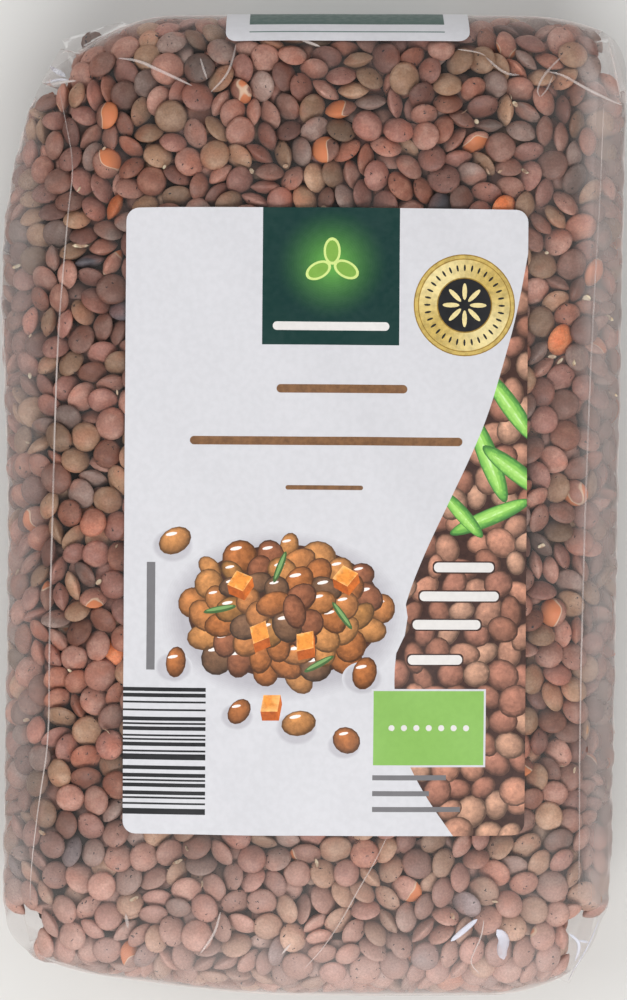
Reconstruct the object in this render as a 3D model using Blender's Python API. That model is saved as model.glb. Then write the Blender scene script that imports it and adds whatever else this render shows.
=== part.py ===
"""Clear side-gusset bag filled with dry brown lentils, lying on its back with its front label up.

Sizes are millimetres until the meshes are made. X runs across the pack, Y along it from the bottom
end to the folded top end, Z up from the surface it lies on.
"""

import math
import random

import bmesh
import bpy
from mathutils import Vector, geometry

MM = 0.001

# Driving sizes of the filled bag
PACK_LENGTH = 177.0
PACK_WIDTH = 110.6
PACK_THICKNESS = 37.0
PANEL_WIDTH = 95.0
LENTIL_DIAMETER = 5.3

# Section across the bag: panels bulge between four heat-set folds
FRONT_CROWN = 6.0
BACK_FOLD_HEIGHT = 5.0
BACK_FLAT_SHARE = 0.84
FRONT_FOLD_HEIGHT = PACK_THICKNESS - FRONT_CROWN
SIDE_BULGE = (PACK_WIDTH - PANEL_WIDTH) / 2
HALF_THICKNESS = PACK_THICKNESS / 2
HALF_LENGTH = PACK_LENGTH / 2
HALF_WIDTH = PACK_WIDTH / 2

# Ends: a rounded shoulder that runs into a shallow dome
SHOULDER_RADIUS = 9.0
SHOULDER_ANGLE = math.radians(67)
SHOULDER_RINGS = 3
DOME_RINGS = 3
LAST_GAP = 1.2

# How the filled bag settles out of true
PANEL_SHIFT = 1.7
PANEL_LEAN = 3.0
LENGTHWISE_SLUMP = 0.07
CORNER_TRIMS = {  # (side, end): how far in the corner is drawn, and over what length
    (-1, 1): (7.0, 40.0),
    (1, 1): (-0.5, 40.0),
    (-1, -1): (3.0, 20.0),
    (1, -1): (6.5, 26.0),
}
LEFT_SWELL = 2.0  # the left gusset bulges more above its middle
LEFT_SWELL_START = 45.0
LEFT_SWELL_MIDDLE = 40.0
LEFT_SWELL_SPREAD = 28.0
BOTTOM_SKEW = 4.4
BOTTOM_SKEW_START = 60.0
TOP_CHAMFER = 5.0
TOP_CHAMFER_START = 29.0
HILLS = ((0.35, 31.0, 47.0, 0.4), (0.25, 19.0, 23.0, 2.1))  # height, wavelengths, phase

# Lentils that press into the film
LENTIL_PITCH = LENTIL_DIAMETER
LENTIL_RISE = 0.55
LENTIL_DIP = 0.45
LENTIL_JITTER = 0.75
RELIEF_FADE_HEIGHT = 3.0
RANDOM_SEED = 11

# Labels
LABEL_THICKNESS = 0.35
LABEL_GAP = 0.3
LABEL_MARGIN = 1.5
FRONT_LABEL = {"width": 71.0, "length": 110.6, "x": 3.0, "y": -2.9, "radius": 2.2, "turn": -0.4}
CLOSING_LABEL = {"width": 43.9, "x": 6.6, "radius": 2.0, "edge_angle": 27.0}
LABEL_GRID = 6.0
CORNER_STEPS = 3

# Empty corners of film: a thin outer edge between two tips, and the buried root that it widens into
EAR_EDGE = 0.8
EARS = {
    "top_left": {"tips": ((-48.8, 75.6), (-45.0, 81.6)), "root": (-36.0, 68.0), "z": 25.0, "depth": 5.0},
    "top_right": {"tips": ((56.8, 72.4), (54.4, 83.6)), "root": (42.0, 72.0), "z": 25.0, "depth": 7.0},
    "bottom_right": {"tips": ((51.2, -74.0), (46.5, -86.6)), "root": (38.0, -70.0), "z": 19.0, "depth": 8.0},
    "bottom_left": {"tips": ((-54.4, -71.4), (-51.6, -79.2)), "root": (-40.0, -66.0), "z": 17.0, "depth": 7.0},
}


def clear_scene():
    for obj in list(bpy.data.objects):
        bpy.data.objects.remove(obj)


def smoothstep(value):
    value = min(1.0, max(0.0, value))
    return value * value * (3 - 2 * value)


def material(name, colour, roughness):
    made = bpy.data.materials.new(name)
    made.use_nodes = True
    shader = made.node_tree.nodes["Principled BSDF"]
    shader.inputs["Base Color"].default_value = (*colour, 1.0)
    shader.inputs["Roughness"].default_value = roughness
    shader.inputs["Metallic"].default_value = 0.0
    return made


# The section across the bag

def front_height(x):
    """Height of the front panel at x, crowned between its two folds."""
    return FRONT_FOLD_HEIGHT + FRONT_CROWN * (1 - (2 * x / PANEL_WIDTH) ** 2)


def back_height(x):
    """Height of the back panel at x: flat where it rests, then lifting to its folds."""
    half_panel = PANEL_WIDTH / 2
    flat = half_panel * BACK_FLAT_SHARE
    beyond = max(0.0, abs(x) - flat) / (half_panel - flat)
    return BACK_FOLD_HEIGHT * beyond ** 2


def section():
    """Points (x, z, is_fold) once round the bag, a lentil's pitch apart, from the right front fold."""
    half_panel = PANEL_WIDTH / 2
    across = round(PANEL_WIDTH / LENTIL_PITCH)
    down = round((FRONT_FOLD_HEIGHT - BACK_FOLD_HEIGHT) * 1.2 / LENTIL_PITCH)
    points = []
    for i in range(across):
        x = half_panel - PANEL_WIDTH * i / across
        points.append((x, front_height(x), i == 0))
    for i in range(down):
        share = i / down
        z = FRONT_FOLD_HEIGHT + (BACK_FOLD_HEIGHT - FRONT_FOLD_HEIGHT) * share
        points.append((-half_panel - SIDE_BULGE * 4 * share * (1 - share), z, i == 0))
    for i in range(across):
        x = -half_panel + PANEL_WIDTH * i / across
        points.append((x, back_height(x), i == 0))
    for i in range(down):
        share = i / down
        z = BACK_FOLD_HEIGHT + (FRONT_FOLD_HEIGHT - BACK_FOLD_HEIGHT) * share
        points.append((half_panel + SIDE_BULGE * 4 * share * (1 - share), z, i == 0))
    return points


# The shape along the bag

def dome_start():
    """How far in from the skin the shoulder hands over to the dome."""
    return SHOULDER_RADIUS * (1 - math.cos(SHOULDER_ANGLE))


def dome_height():
    return (HALF_THICKNESS - dome_start()) / math.tan(SHOULDER_ANGLE) / 2


def shoulder_station():
    """Y where the straight part of the bag ends and the shoulder begins."""
    return HALF_LENGTH - dome_height() - SHOULDER_RADIUS * math.sin(SHOULDER_ANGLE)


def shoulder(angle):
    """(y, inset) on the rounded shoulder."""
    return (
        shoulder_station() + SHOULDER_RADIUS * math.sin(angle),
        SHOULDER_RADIUS * (1 - math.cos(angle)),
    )


def dome(inset):
    """(y, inset) on the end's shallow dome."""
    left = (HALF_THICKNESS - inset) / (HALF_THICKNESS - dome_start())
    return HALF_LENGTH - dome_height() * left ** 2, inset


def end_stations():
    """(y, inset) of the rings of one end, from the shoulder inwards."""
    found = [shoulder(SHOULDER_ANGLE * i / SHOULDER_RINGS) for i in range(1, SHOULDER_RINGS + 1)]
    span = HALF_THICKNESS - LAST_GAP - dome_start()
    found += [dome(dome_start() + span * i / DOME_RINGS) for i in range(1, DOME_RINGS + 1)]
    return found


def stations():
    """(y, inset) of every ring, from the bottom end to the top end."""
    top = end_stations()
    bottom = [(-y, inset) for y, inset in reversed(top)]
    reach = shoulder_station()
    count = round(2 * reach / (LENTIL_PITCH * math.sin(math.radians(60))))
    straight = [(-reach + 2 * reach * i / count, 0.0) for i in range(count + 1)]
    return bottom + straight + top


def inset_point(x, z, inset):
    """A point of the section, drawn in towards the middle of the end."""
    return (
        x * (1 - inset / HALF_WIDTH),
        HALF_THICKNESS + (z - HALF_THICKNESS) * (1 - inset / HALF_THICKNESS),
    )


def sideways(y, z):
    """How far the bag has slid sideways at a height: the front panel lies turned on the back one."""
    return (PANEL_SHIFT + PANEL_LEAN * y / HALF_LENGTH) * smoothstep(z / PACK_THICKNESS)


def settle(point):
    """Moves a point of the true-drawn bag to where the filled bag has slumped."""
    x, y, z = point
    side = -1 if x < 0 else 1
    end = -1 if y < 0 else 1
    outward = abs(x) / HALF_WIDTH
    height = z / PACK_THICKNESS
    trim, over = CORNER_TRIMS[(side, end)]
    along = max(0.0, abs(y) - (HALF_LENGTH - over)) / over
    shifted = x + sideways(y, z) - side * trim * outward ** 2 * along ** 2
    left = smoothstep(-x / HALF_WIDTH)
    past_fold = smoothstep((-x - LEFT_SWELL_START) / (HALF_WIDTH - LEFT_SWELL_START))
    shifted -= LEFT_SWELL * past_fold * math.exp(-(((y - LEFT_SWELL_MIDDLE) / LEFT_SWELL_SPREAD) ** 2))
    past_label = max(0.0, -y - BOTTOM_SKEW_START) / (HALF_LENGTH - BOTTOM_SKEW_START)
    past_shoulder = smoothstep((-x - TOP_CHAMFER_START) / (HALF_WIDTH - TOP_CHAMFER_START))
    lengthwise = y + BOTTOM_SKEW * left * past_label ** 1.5
    lengthwise -= TOP_CHAMFER * past_shoulder * max(0.0, y / HALF_LENGTH) ** 4
    hills = sum(
        rise * math.sin(x / across * math.tau + phase) * math.sin(y / along_y * math.tau + phase)
        for rise, across, along_y, phase in HILLS
    )
    lifted = z * (1 - LENGTHWISE_SLUMP * (y / HALF_LENGTH) ** 2) + hills * height ** 2
    return Vector((shifted, lengthwise, lifted))


# Where the labels lie on the skin

def even_steps(length):
    """Grid lines across a length centred on 0, about a grid step apart and clear of both ends."""
    count = round(length / LABEL_GRID)
    return [length * (i / count - 0.5) for i in range(1, count)]


def rounded_border(width, length, radius, columns, rows):
    """Corner-rounded rectangle about the origin, anticlockwise, with a point where each grid line ends."""
    across = [u for u in columns if abs(u) < width / 2 - radius]
    along = [v for v in rows if abs(v) < length / 2 - radius]
    sides = (
        [(u, length / 2) for u in reversed(across)],
        [(-width / 2, v) for v in reversed(along)],
        [(u, -length / 2) for u in across],
        [(width / 2, v) for v in along],
    )
    points = []
    for quarter, (sx, sy) in enumerate(((1, 1), (-1, 1), (-1, -1), (1, -1))):
        centre = (sx * (width / 2 - radius), sy * (length / 2 - radius))
        for i in range(CORNER_STEPS + 1):
            angle = math.pi / 2 * (quarter + i / CORNER_STEPS)
            points.append((centre[0] + radius * math.cos(angle), centre[1] + radius * math.sin(angle)))
        points += sides[quarter]
    return points


def front_label_place(u, v, out):
    """Skin point under the front label's own (u, v), moved out along the skin's slope."""
    turn = math.radians(FRONT_LABEL["turn"])
    y = FRONT_LABEL["y"] + u * math.sin(turn) + v * math.cos(turn)
    x = FRONT_LABEL["x"] + u * math.cos(turn) - v * math.sin(turn) - sideways(y, PACK_THICKNESS)
    return Vector((x, y, front_height(x) + out))


def closing_label_angle_path():
    """Path lengths of the closing label: on one shoulder, then on half the dome."""
    start = math.radians(CLOSING_LABEL["edge_angle"])
    return SHOULDER_RADIUS * (SHOULDER_ANGLE - start), HALF_THICKNESS - dome_start()


def closing_label_place(u, v, out):
    """Skin point under the closing label: v is the distance from the middle of the end, forward up."""
    on_shoulder, on_dome = closing_label_angle_path()
    travel = abs(v)
    if travel <= on_dome:
        y, inset = dome(HALF_THICKNESS - travel)
        slope = 2 * dome_height() * travel / (HALF_THICKNESS - dome_start()) ** 2
        away = Vector((0, 1, slope)).normalized()
    else:
        angle = SHOULDER_ANGLE - (travel - on_dome) / SHOULDER_RADIUS
        y, inset = shoulder(angle)
        away = Vector((0, math.sin(angle), math.cos(angle)))
    height = PACK_THICKNESS if v >= 0 else 0.0
    _, height = inset_point(0.0, height, inset)
    x = CLOSING_LABEL["x"] + u - sideways(y, height)
    x_on_section = x / (1 - inset / HALF_WIDTH)
    z_on_section = front_height(x_on_section) if v >= 0 else back_height(x_on_section)
    _, z = inset_point(x_on_section, z_on_section, inset)
    if v < 0:
        away.z = -away.z
    return Vector((x, y, z)) + away * out


def closing_label_length():
    return 2 * sum(closing_label_angle_path())


def closing_label_rows():
    """Where the closing label crosses the bag's rings, so that both bend along the same lines."""
    _, on_dome = closing_label_angle_path()
    half = []
    for y, inset in end_stations():
        if inset > dome_start():
            half.append(HALF_THICKNESS - inset)
        else:
            angle = math.acos(1 - inset / SHOULDER_RADIUS)
            half.append(on_dome + SHOULDER_RADIUS * (SHOULDER_ANGLE - angle))
    half = [v for v in half if v < closing_label_length() / 2]
    return sorted([-v for v in half] + half)


def is_under_label(x, y, z):
    """True where the skin lies smooth because a label is stuck on it."""
    x += sideways(y, z)
    over_front = (
        z > FRONT_FOLD_HEIGHT - 1
        and abs(x - FRONT_LABEL["x"]) < FRONT_LABEL["width"] / 2 + LABEL_MARGIN
        and abs(y - FRONT_LABEL["y"]) < FRONT_LABEL["length"] / 2 + LABEL_MARGIN
    )
    edge, _ = shoulder(math.radians(CLOSING_LABEL["edge_angle"]))
    over_top = (
        y > edge - 2 * LABEL_MARGIN
        and abs(x - CLOSING_LABEL["x"]) < CLOSING_LABEL["width"] / 2 + LABEL_MARGIN
    )
    return over_front or over_top


# The bag's mesh

def lattice_shift(column, columns, row):
    """Sideways shift, in steps, that staggers a row of lentils, fading out at the folds."""
    if column == 0:
        return 0.0
    nearness = min(column, columns - column)
    return (0.25 if row % 2 else -0.25) * min(1.0, nearness / 1.5)


def ring_points(around, y, inset, row):
    """One ring of (x, y, z), its points staggered against the next ring's."""
    folds = [i for i, point in enumerate(around) if point[2]] + [len(around)]
    made = []
    for first, last in zip(folds, folds[1:]):
        columns = last - first
        for column in range(columns):
            here = around[first + column]
            shift = lattice_shift(column, columns, row)
            beside = around[(first + column + (1 if shift > 0 else -1)) % len(around)]
            x = here[0] + (beside[0] - here[0]) * abs(shift)
            z = here[1] + (beside[1] - here[1]) * abs(shift)
            x, z = inset_point(x, z, inset)
            made.append((x, y, z))
    return made


def skin_mesh():
    """Closed triangle mesh of the bag, and its layer that marks the folds."""
    around = section()
    is_fold = [point[2] for point in around]
    made = bmesh.new()
    fold_layer = made.verts.layers.int.new("fold")
    rings = []
    for row, (y, inset) in enumerate(stations()):
        ring = []
        for place, fold in zip(ring_points(around, y, inset, row), is_fold):
            vert = made.verts.new(place)
            vert[fold_layer] = int(fold)
            ring.append(vert)
        rings.append(ring)
    count = len(around)
    for row, (lower, upper) in enumerate(zip(rings, rings[1:])):
        for i in range(count):
            j = (i + 1) % count
            a, b, c, d = lower[i], lower[j], upper[j], upper[i]
            if row % 2:
                made.faces.new((a, d, b))
                made.faces.new((b, d, c))
            else:
                made.faces.new((a, d, c))
                made.faces.new((a, c, b))
    for ring in (rings[0], rings[-1]):
        cap = made.faces.new(ring)
        bmesh.ops.triangulate(made, faces=[cap])
    bmesh.ops.recalc_face_normals(made, faces=made.faces)
    return made, fold_layer


def takes_relief(face):
    """True on a face where lentils show their shape through the film."""
    middle = face.calc_center_median()
    rests = middle.z < RELIEF_FADE_HEIGHT / 2 and abs(face.normal.z) > 0.9
    return not rests and not is_under_label(*middle)


def raised_place(vert, draw):
    """Where one lentil's middle stands: off its lattice point, and out of the skin."""
    wander = Vector([draw.uniform(-1, 1) for _ in range(3)]) * LENTIL_JITTER
    wander -= vert.normal * wander.dot(vert.normal)
    fade = smoothstep(vert.co.z / RELIEF_FADE_HEIGHT)
    return vert.co + (wander + vert.normal * LENTIL_RISE * draw.uniform(0.5, 1.3)) * fade


def dip_place(face):
    """Where three lentils meet, a little way into the skin."""
    middle = face.calc_center_median()
    return middle - face.normal * LENTIL_DIP * smoothstep(middle.z / RELIEF_FADE_HEIGHT)


def press_lentils(skin, fold_layer):
    """New mesh in which each lattice point is one lentil's bump, ringed by dips."""
    draw = random.Random(RANDOM_SEED)
    skin.normal_update()
    raised = {face for face in skin.faces if takes_relief(face)}
    pressed = bmesh.new()
    moved = {}
    for vert in skin.verts:
        is_lentil = not vert[fold_layer] and all(face in raised for face in vert.link_faces)
        moved[vert] = pressed.verts.new(raised_place(vert, draw) if is_lentil else vert.co)
    dips = {}
    for face in skin.faces:
        if face in raised:
            dips[face] = pressed.verts.new(dip_place(face))
        else:
            pressed.faces.new([moved[vert] for vert in face.verts])
    for edge in skin.edges:
        on_fold = all(vert[fold_layer] for vert in edge.verts)
        sides = list(edge.link_loops)
        if not on_fold and all(side.face in raised for side in sides):
            first, second = sides
            pressed.faces.new((moved[first.vert], dips[second.face], dips[first.face]))
            pressed.faces.new((moved[second.vert], dips[first.face], dips[second.face]))
            continue
        for side in sides:
            if side.face in raised:
                ends = (moved[side.vert], moved[side.link_loop_next.vert])
                pressed.faces.new((*ends, dips[side.face]))
    skin.free()
    return pressed


def flatten_rest(made):
    """Makes the resting face one flat face with as few triangles as its outline needs."""
    for vert in made.verts:
        if vert.co.z < 0.02:
            vert.co.z = 0.0
    resting = [face for face in made.faces if all(vert.co.z == 0.0 for vert in face.verts)]
    region = bmesh.ops.dissolve_faces(made, faces=resting)["region"]
    bmesh.ops.triangulate(made, faces=region)


def settled(made):
    """Slumps every vertex of a mesh drawn true, and turns millimetres into metres."""
    for vert in made.verts:
        vert.co = settle(vert.co) * MM


def object_from(made, name, finish):
    mesh = bpy.data.meshes.new(name)
    made.to_mesh(mesh)
    made.free()
    obj = bpy.data.objects.new(name, mesh)
    bpy.context.scene.collection.objects.link(obj)
    obj.data.materials.append(finish)
    return obj


def ear(name, shape, finish):
    """One empty corner of film: a thin outer edge that widens into the bag."""
    root_x, root_y = shape["root"]
    (side_x, side_y), (end_x, end_y) = shape["tips"]
    thin = shape["z"] - EAR_EDGE / 2, shape["z"] + EAR_EDGE / 2
    thick = shape["z"] - shape["depth"], shape["z"] + shape["depth"] / 2
    corners = [(side_x, side_y, z) for z in thin] + [(end_x, end_y, z) for z in thin]
    corners += [(root_x, side_y, z) for z in thick] + [(end_x * 0.8, root_y, z) for z in thick]
    made = bmesh.new()
    for corner in corners:
        made.verts.new(Vector(corner) * MM)
    bmesh.ops.convex_hull(made, input=made.verts)
    bmesh.ops.delete(made, geom=[v for v in made.verts if not v.link_faces], context="VERTS")
    bmesh.ops.triangulate(made, faces=made.faces)
    return object_from(made, name, finish)


def filled_bag(finish):
    """The bag with its lentils' relief, and its four empty film corners fused on."""
    made = press_lentils(*skin_mesh())
    flatten_rest(made)
    settled(made)
    bag = object_from(made, "lentil_bag", finish)
    corners = bpy.data.collections.new("film_corners")
    for name, shape in EARS.items():
        corner = ear(name, shape, finish)
        bpy.context.scene.collection.objects.unlink(corner)
        corners.objects.link(corner)
    union = bag.modifiers.new("fuse_corners", "BOOLEAN")
    union.operation = "UNION"
    union.operand_type = "COLLECTION"
    union.collection = corners
    union.solver = "EXACT"
    bpy.context.scene.collection.children.link(corners)
    bpy.context.view_layer.objects.active = bag
    bpy.ops.object.modifier_apply(modifier=union.name)
    for corner in list(corners.objects):
        bpy.data.objects.remove(corner)
    bpy.data.collections.remove(corners)
    return bag


def label(name, shape, length, rows, place, finish):
    """A thin sticker that follows the skin: a sheet over its gap, thickened outwards."""
    columns = even_steps(shape["width"])
    inner = [Vector((u, v)) for u in columns for v in rows]
    points = rounded_border(shape["width"], length, shape["radius"], columns, rows)
    border = [Vector(point) for point in points]
    edges = [(i, (i + 1) % len(border)) for i in range(len(border))]
    flat, _, faces, *_ = geometry.delaunay_2d_cdt(border + inner, edges, [], 1, 1e-6)
    made = bmesh.new()
    verts = [made.verts.new(settle(place(u, v, LABEL_GAP)) * MM) for u, v in flat]
    for face in faces:
        made.faces.new([verts[i] for i in face])
    bmesh.ops.recalc_face_normals(made, faces=made.faces)
    middle = max(made.faces, key=lambda face: face.calc_area())
    outward = place(0, 1, 1) - place(0, 1, 0)
    if middle.normal.dot(outward) < 0:
        bmesh.ops.reverse_faces(made, faces=made.faces)
    sticker = object_from(made, name, finish)
    wall = sticker.modifiers.new("paper", "SOLIDIFY")
    wall.thickness = LABEL_THICKNESS * MM
    wall.offset = 1.0
    wall.use_even_offset = True
    return sticker


def centre_on_footprint(objects):
    """Shifts everything so that the origin is below the middle of the whole pack."""
    graph = bpy.context.evaluated_depsgraph_get()
    corners = [vert.co for obj in objects for vert in obj.evaluated_get(graph).data.vertices]
    shift = Vector([(min(c[i] for c in corners) + max(c[i] for c in corners)) / 2 for i in (0, 1)])
    for obj in objects:
        for vert in obj.data.vertices:
            vert.co.x -= shift.x
            vert.co.y -= shift.y


def main():
    clear_scene()
    lentils_in_film = material("lentils_in_film", (0.235, 0.115, 0.078), 0.45)
    paper = material("label_paper", (0.72, 0.71, 0.72), 0.5)
    bag = filled_bag(lentils_in_film)
    front_rows = even_steps(FRONT_LABEL["length"])
    front = label(
        "front_label", FRONT_LABEL, FRONT_LABEL["length"], front_rows, front_label_place, paper
    )
    closing = label(
        "closing_label",
        CLOSING_LABEL,
        closing_label_length(),
        closing_label_rows(),
        closing_label_place,
        paper,
    )
    centre_on_footprint([bag, front, closing])


main()
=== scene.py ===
import math
import random
from contextlib import contextmanager

import bpy
import numpy as np
from mathutils import Matrix, Vector, geometry
from mathutils.bvhtree import BVHTree
from mathutils.kdtree import KDTree


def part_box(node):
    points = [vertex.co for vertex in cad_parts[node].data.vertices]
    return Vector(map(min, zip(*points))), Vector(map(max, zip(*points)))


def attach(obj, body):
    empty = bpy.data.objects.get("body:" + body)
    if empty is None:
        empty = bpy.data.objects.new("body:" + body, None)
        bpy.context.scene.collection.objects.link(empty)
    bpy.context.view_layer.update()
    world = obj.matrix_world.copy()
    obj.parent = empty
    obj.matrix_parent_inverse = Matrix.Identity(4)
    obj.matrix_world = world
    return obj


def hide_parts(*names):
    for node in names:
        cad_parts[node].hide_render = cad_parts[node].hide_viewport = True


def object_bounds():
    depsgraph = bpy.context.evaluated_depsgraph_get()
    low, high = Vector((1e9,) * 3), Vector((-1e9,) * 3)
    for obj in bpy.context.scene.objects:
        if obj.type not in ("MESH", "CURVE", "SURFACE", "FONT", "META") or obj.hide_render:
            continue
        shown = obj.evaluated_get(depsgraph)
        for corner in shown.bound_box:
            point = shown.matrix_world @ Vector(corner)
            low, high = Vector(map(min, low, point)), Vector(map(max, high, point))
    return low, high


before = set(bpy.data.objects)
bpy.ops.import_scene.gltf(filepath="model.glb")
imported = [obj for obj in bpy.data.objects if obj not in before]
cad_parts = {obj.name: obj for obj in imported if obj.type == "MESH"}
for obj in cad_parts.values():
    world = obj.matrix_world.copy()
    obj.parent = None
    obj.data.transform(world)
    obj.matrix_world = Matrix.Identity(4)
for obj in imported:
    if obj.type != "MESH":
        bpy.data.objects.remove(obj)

cadBox = [list(corner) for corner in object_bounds()]
mm = 0.001

# The filled bag, in mm, drawn true before it is slumped. X across, Y along, Z up.
bag = {
    "length": 177.0, "width": 110.6, "thickness": 37.0, "panel": 95.0, "crown": 6.0,
    "backFold": 5.0, "flatShare": 0.84,
    "shoulder": 9.0, "shoulderTurn": math.radians(67), "lastGap": 0.6,
    "shift": 1.7, "lean": 3.0, "slump": 0.07,
    "trims": {(-1, 1): (7.0, 40.0), (1, 1): (-0.5, 40.0), (-1, -1): (3.0, 20.0), (1, -1): (6.5, 26.0)},
    "leftSwell": 2.0, "swellStart": 45.0, "swellMiddle": 40.0, "swellSpread": 28.0,
    "bottomSkew": 4.4, "skewStart": 60.0, "topChamfer": 5.0, "chamferStart": 29.0,
    "hills": ((0.35, 31.0, 47.0, 0.4), (0.25, 19.0, 23.0, 2.1)),
}
halfLength = bag["length"] / 2
halfWidth = bag["width"] / 2
halfThick = bag["thickness"] / 2
frontFold = bag["thickness"] - bag["crown"]
sideBulge = (bag["width"] - bag["panel"]) / 2

frontLabel = {"width": 71.0, "length": 110.6, "x": 3.0, "y": -2.9, "radius": 2.2, "turn": math.radians(-0.4)}
closingLabel = {"width": 43.9, "x": 6.6, "radius": 2.0, "edgeTurn": math.radians(31)}
frontZone = 22.0  # what is higher than this is near the bag's front


def soften(value):
    value = np.clip(value, 0.0, 1.0)
    return value * value * (3 - 2 * value)


def frontHeight(x):
    return frontFold + bag["crown"] * (1 - (2 * x / bag["panel"]) ** 2)


def backHeight(x):
    halfPanel = bag["panel"] / 2
    flat = halfPanel * bag["flatShare"]
    return bag["backFold"] * (np.maximum(0.0, np.abs(x) - flat) / (halfPanel - flat)) ** 2


def sectionAround(frontStep, sideStep, backStep):  # once round the bag from its right front fold
    halfPanel = bag["panel"] / 2
    drop = frontFold - bag["backFold"]
    across = np.linspace(halfPanel, -halfPanel, round(bag["panel"] / frontStep), endpoint=False)
    down = np.linspace(0, 1, round(drop * 1.2 / sideStep), endpoint=False)
    back = np.linspace(-halfPanel, halfPanel, round(bag["panel"] / backStep), endpoint=False)
    out = halfPanel + sideBulge * 4 * down * (1 - down)
    x = np.concatenate([across, -out, back, out])
    falling, rising = frontFold - drop * down, bag["backFold"] + drop * down
    z = np.concatenate([frontHeight(across), falling, backHeight(back), rising])
    return x, z


domeStart = bag["shoulder"] * (1 - math.cos(bag["shoulderTurn"]))
domeHeight = (halfThick - domeStart) / math.tan(bag["shoulderTurn"]) / 2
shoulderStart = halfLength - domeHeight - bag["shoulder"] * math.sin(bag["shoulderTurn"])


def shoulderAt(turn):  # (y, inset) on the rounded end of the bag
    return shoulderStart + bag["shoulder"] * math.sin(turn), bag["shoulder"] * (1 - math.cos(turn))


def domeAt(inset):
    left = (halfThick - inset) / (halfThick - domeStart)
    return halfLength - domeHeight * left ** 2, inset


def rowsAlong(step):  # (y, inset) of each ring from the bottom end to the top end
    arc, domeReach = bag["shoulder"] * bag["shoulderTurn"], halfThick - domeStart
    turns = np.linspace(0, bag["shoulderTurn"], round(arc / step) + 1)[1:]
    insets = np.linspace(domeStart, halfThick - bag["lastGap"], round(domeReach / step) + 1)[1:]
    top = [shoulderAt(turn) for turn in turns] + [domeAt(inset) for inset in insets]
    straight = np.linspace(-shoulderStart, shoulderStart, round(2 * shoulderStart / step) + 1)
    return [(-y, inset) for y, inset in reversed(top)] + [(y, 0.0) for y in straight] + top


def sideways(y, z):
    return (bag["shift"] + bag["lean"] * y / halfLength) * soften(z / bag["thickness"])


def slumped(x, y, z):  # the true-drawn point where the filled bag has settled
    sides, ends = np.where(x < 0, -1, 1), np.where(y < 0, -1, 1)
    outward, height = np.abs(x) / halfWidth, z / bag["thickness"]
    moved = x + sideways(y, z)
    for (side, end), (trim, over) in bag["trims"].items():
        along = np.maximum(0.0, np.abs(y) - (halfLength - over)) / over
        here = (sides == side) & (ends == end)
        moved = moved - np.where(here, side * trim * outward ** 2 * along ** 2, 0.0)
    pastFold = soften((-x - bag["swellStart"]) / (halfWidth - bag["swellStart"]))
    fromSwell = (y - bag["swellMiddle"]) / bag["swellSpread"]
    moved = moved - bag["leftSwell"] * pastFold * np.exp(-fromSwell ** 2)
    pastLabel = np.maximum(0.0, -y - bag["skewStart"]) / (halfLength - bag["skewStart"])
    pastShoulder = soften((-x - bag["chamferStart"]) / (halfWidth - bag["chamferStart"]))
    along = y + bag["bottomSkew"] * soften(-x / halfWidth) * pastLabel ** 1.5
    along = along - bag["topChamfer"] * pastShoulder * np.maximum(0.0, y / halfLength) ** 4
    rise = sum(
        h * np.sin(x / wx * math.tau + phase) * np.sin(y / wy * math.tau + phase)
        for h, wx, wy, phase in bag["hills"]
    )
    lifted = z * (1 - bag["slump"] * (y / halfLength) ** 2) + rise * height ** 2
    return np.stack([moved, along, lifted], axis=-1) - centreShift


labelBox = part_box("front_label")
labelMiddle = (labelBox[0] + labelBox[1]) / 2 / mm
centreShift = np.array([frontLabel["x"] - labelMiddle.x, frontLabel["y"] - labelMiddle.y, 0.0])
print("bag drawn from the frame, centre shift", centreShift.round(2))


# Small helpers for pieces and materials

def deselectAll():
    if bpy.context.object and bpy.context.object.mode != "OBJECT":
        bpy.ops.object.mode_set(mode="OBJECT")
    bpy.ops.object.select_all(action="DESELECT")


def useObject(piece):
    deselectAll()
    piece.select_set(True)
    bpy.context.view_layer.objects.active = piece


@contextmanager
def editing(piece):  # edit mode with the whole mesh selected
    useObject(piece)
    bpy.ops.object.mode_set(mode="EDIT")
    bpy.ops.mesh.select_all(action="SELECT")
    yield
    bpy.ops.object.mode_set(mode="OBJECT")


def unit(vectors):
    return vectors / np.linalg.norm(vectors, axis=-1, keepdims=True)


def readPoints(mesh):
    points = np.empty(len(mesh.vertices) * 3, np.float64)
    mesh.vertices.foreach_get("co", points)
    return points.reshape(-1, 3)


def writePoints(mesh, points):
    mesh.vertices.foreach_set("co", np.asarray(points, np.float32).ravel())
    mesh.update()


def meshPiece(name, points, faces):
    mesh = bpy.data.meshes.new(name)
    mesh.from_pydata(points, [], faces)
    mesh.polygons.foreach_set("use_smooth", [True] * len(mesh.polygons))
    piece = bpy.data.objects.new(name, mesh)
    bpy.context.scene.collection.objects.link(piece)
    return piece


def writeValues(mesh, title, values):
    attribute = mesh.attributes.new(title, "FLOAT", "POINT")
    attribute.data.foreach_set("value", np.asarray(values, np.float32))


def finishPiece(piece, material, stands=()):
    piece.data.materials.clear()
    piece.data.materials.append(material)
    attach(piece, "root")
    if stands:
        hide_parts(*stands)


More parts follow.
